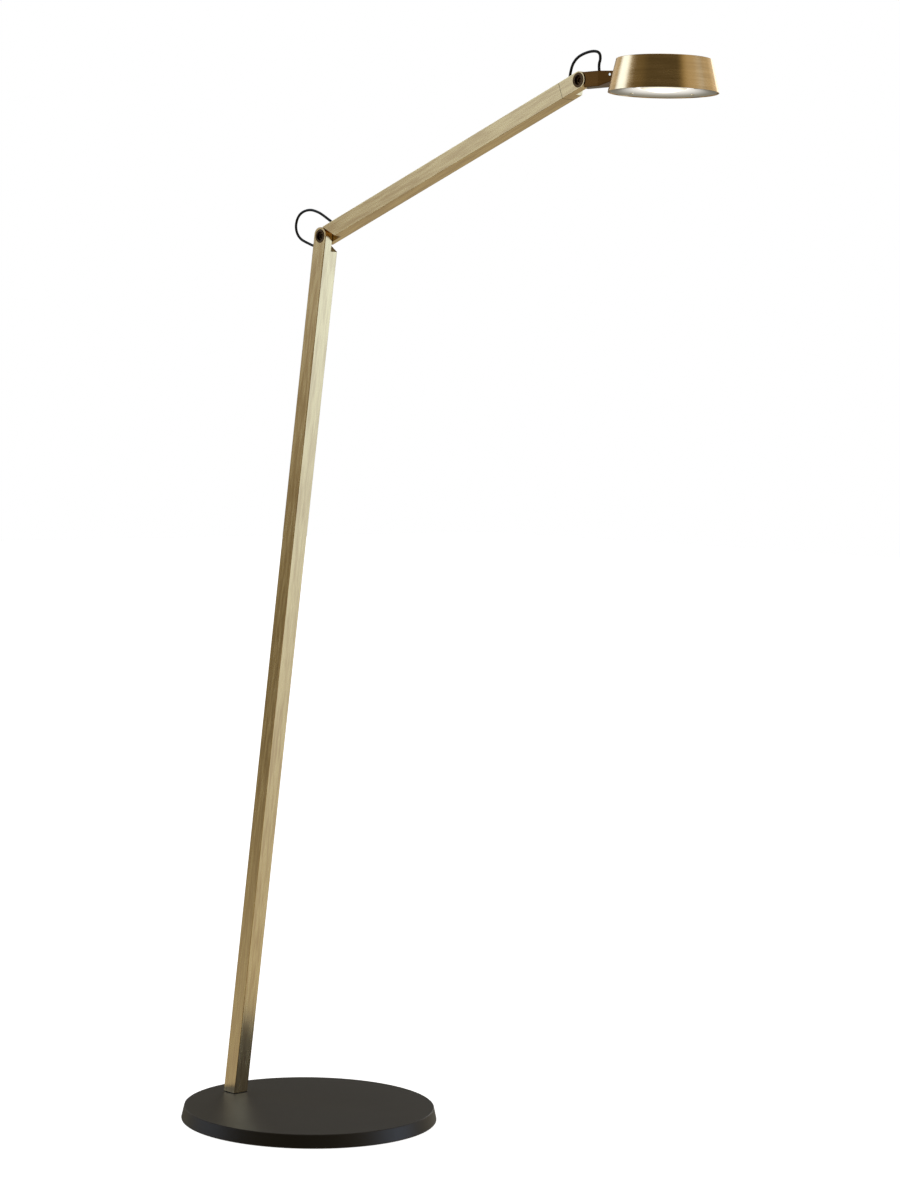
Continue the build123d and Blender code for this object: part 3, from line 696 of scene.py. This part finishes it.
# Soft panels of the studio: azimuth, elevation, inner and outer half angle in degrees, light
SOFT_PANELS = [
    (-154, 22, 6, 21, 1.4),
    (-118, 28, 5, 30, 0.07),
    (-129, 11, 4, 14, 0.72),
    (-139, 3, 3, 9, 0.24),
    (-141, -16, 5, 10, 0.54),
    (44, 0, 4, 25, 1.03),
    (43, -31, 9, 15, 0.38),
    (24, 29, 6, 32, 0.41),
    (76, 20, 5, 27, 0.41),
    (168, 14, 7, 28, 0.45),
    (-90, -20, 6, 26, 0.32),
    (-45, -24, 6, 22, 0.24),
    (0, -20, 6, 26, 0.32),
    (92, -18, 6, 26, 0.32),
    (-170, -20, 6, 24, 0.3),
    (-142, -57, 8, 32, 0.12),
    (122, -36, 10, 36, 0.12),
]
# Backdrop and the light that the pale floor throws back, in the same terms
PLAIN_PANELS = [
    (108, 13, 6, 30, 0.36),
    (120, 14, 3, 14, 0.6),
    (112, 17, 4, 12, 1.3),
    (140, 14, 10, 34, 0.12),
    (122, -36, 10, 36, 0.18),
    (0, 90, 15, 38, 0.6),
    (0, -90, 25, 58, 0.32),
]
# Tint of the soft panels' light where it is dim and where it is bright, and both lights
DIM_TINT = (1.0, 0.83, 0.45)
BRIGHT_TINT = (1.0, 1.34, 2.0)
TINT_DIM = 0.25
TINT_BRIGHT = 1.15


def panel_light(bench, direction, panels, light):
    """Light that a set of soft panels adds to a first light."""
    for azimuth, elevation, inner, outer, strength in panels:
        facing = bench.dot(direction, bearing(azimuth, elevation))
        light = bench.ramp(facing, cos(radians(outer)), cos(radians(inner))) * strength + light
    return light


def light_studio(settings):
    """Soft panels round the lamp on a dim surround, with a white backdrop."""
    world = bpy.data.worlds.new("studio")
    bpy.context.scene.world = world
    world.use_nodes = True
    bench = NodeBench(world.node_tree)
    direction = bench.node("ShaderNodeTexCoord", None, None, "Generated")
    panels = panel_light(bench, direction, SOFT_PANELS, settings.ambient)
    tint = bench.blend(bench.ramp(panels, TINT_DIM, TINT_BRIGHT), DIM_TINT, BRIGHT_TINT)
    tinted = bench.node("ShaderNodeBackground", None, {"Color": tint, "Strength": panels})
    backdrop = panel_light(bench, direction, PLAIN_PANELS, 0.0)
    plain = bench.node("ShaderNodeBackground", None, {"Color": WHITE, "Strength": backdrop})
    studio = bench.node("ShaderNodeAddShader", None, {0: tinted, 1: plain})
    white = bench.node("ShaderNodeBackground", None, {"Color": WHITE})
    seen = bench.node("ShaderNodeLightPath", None, None, "Is Camera Ray")
    shown = bench.node("ShaderNodeMixShader", None, {0: seen, 1: studio, 2: white})
    bench.node("ShaderNodeOutputWorld", None, {"Surface": shown})


class LAMP_OT_set_stage(bpy.types.Operator):
    """Place the camera, the floor and the soft studio light"""

    bl_idname = "lamp.set_stage"
    bl_label = "Set Stage"

    def execute(self, context):
        settings = context.scene.lamp_stage
        place_camera(settings)
        lay_floor(settings)
        light_studio(settings)
        context.scene.view_settings.view_transform = "Standard"
        return {"FINISHED"}


# Panel and registration

SETTINGS = {
    "lamp_finish": LampFinishSettings,
    "lamp_cable": LampCableSettings,
    "lamp_stage": LampStageSettings,
}
OPERATORS = (
    LAMP_OT_set_stage,
    LAMP_OT_lay_cable,
    LAMP_OT_dress_metal,
    LAMP_OT_dress_base,
    LAMP_OT_dress_pivots,
    LAMP_OT_dress_light,
)


class LAMP_PT_sidebar(bpy.types.Panel):
    """The lamp's settings and the steps that dress it"""

    bl_idname = "LAMP_PT_sidebar"
    bl_label = "Reading Lamp"
    bl_space_type = "VIEW_3D"
    bl_region_type = "UI"
    bl_category = "Lamp"

    def draw(self, context):
        for name, group in SETTINGS.items():
            box = self.layout.box()
            for setting in group.__annotations__:
                box.prop(getattr(context.scene, name), setting)
        for operator in OPERATORS:
            self.layout.operator(operator.bl_idname)


def register():
    """Add the lamp's settings, steps and panel to Blender."""
    for name, group in SETTINGS.items():
        bpy.utils.register_class(group)
        setattr(bpy.types.Scene, name, bpy.props.PointerProperty(type=group))
    for kind in (*OPERATORS, LAMP_PT_sidebar):
        bpy.utils.register_class(kind)


def unregister():
    """Take them out again."""
    for kind in (LAMP_PT_sidebar, *reversed(OPERATORS)):
        bpy.utils.unregister_class(kind)
    for name, group in SETTINGS.items():
        delattr(bpy.types.Scene, name)
        bpy.utils.unregister_class(group)


def main():
    """Dress the lamp step by step."""
    register()
    for operator in OPERATORS:
        group, step = operator.bl_idname.split(".")
        getattr(getattr(bpy.ops, group), step)()


if __name__ == "__main__":
    main()
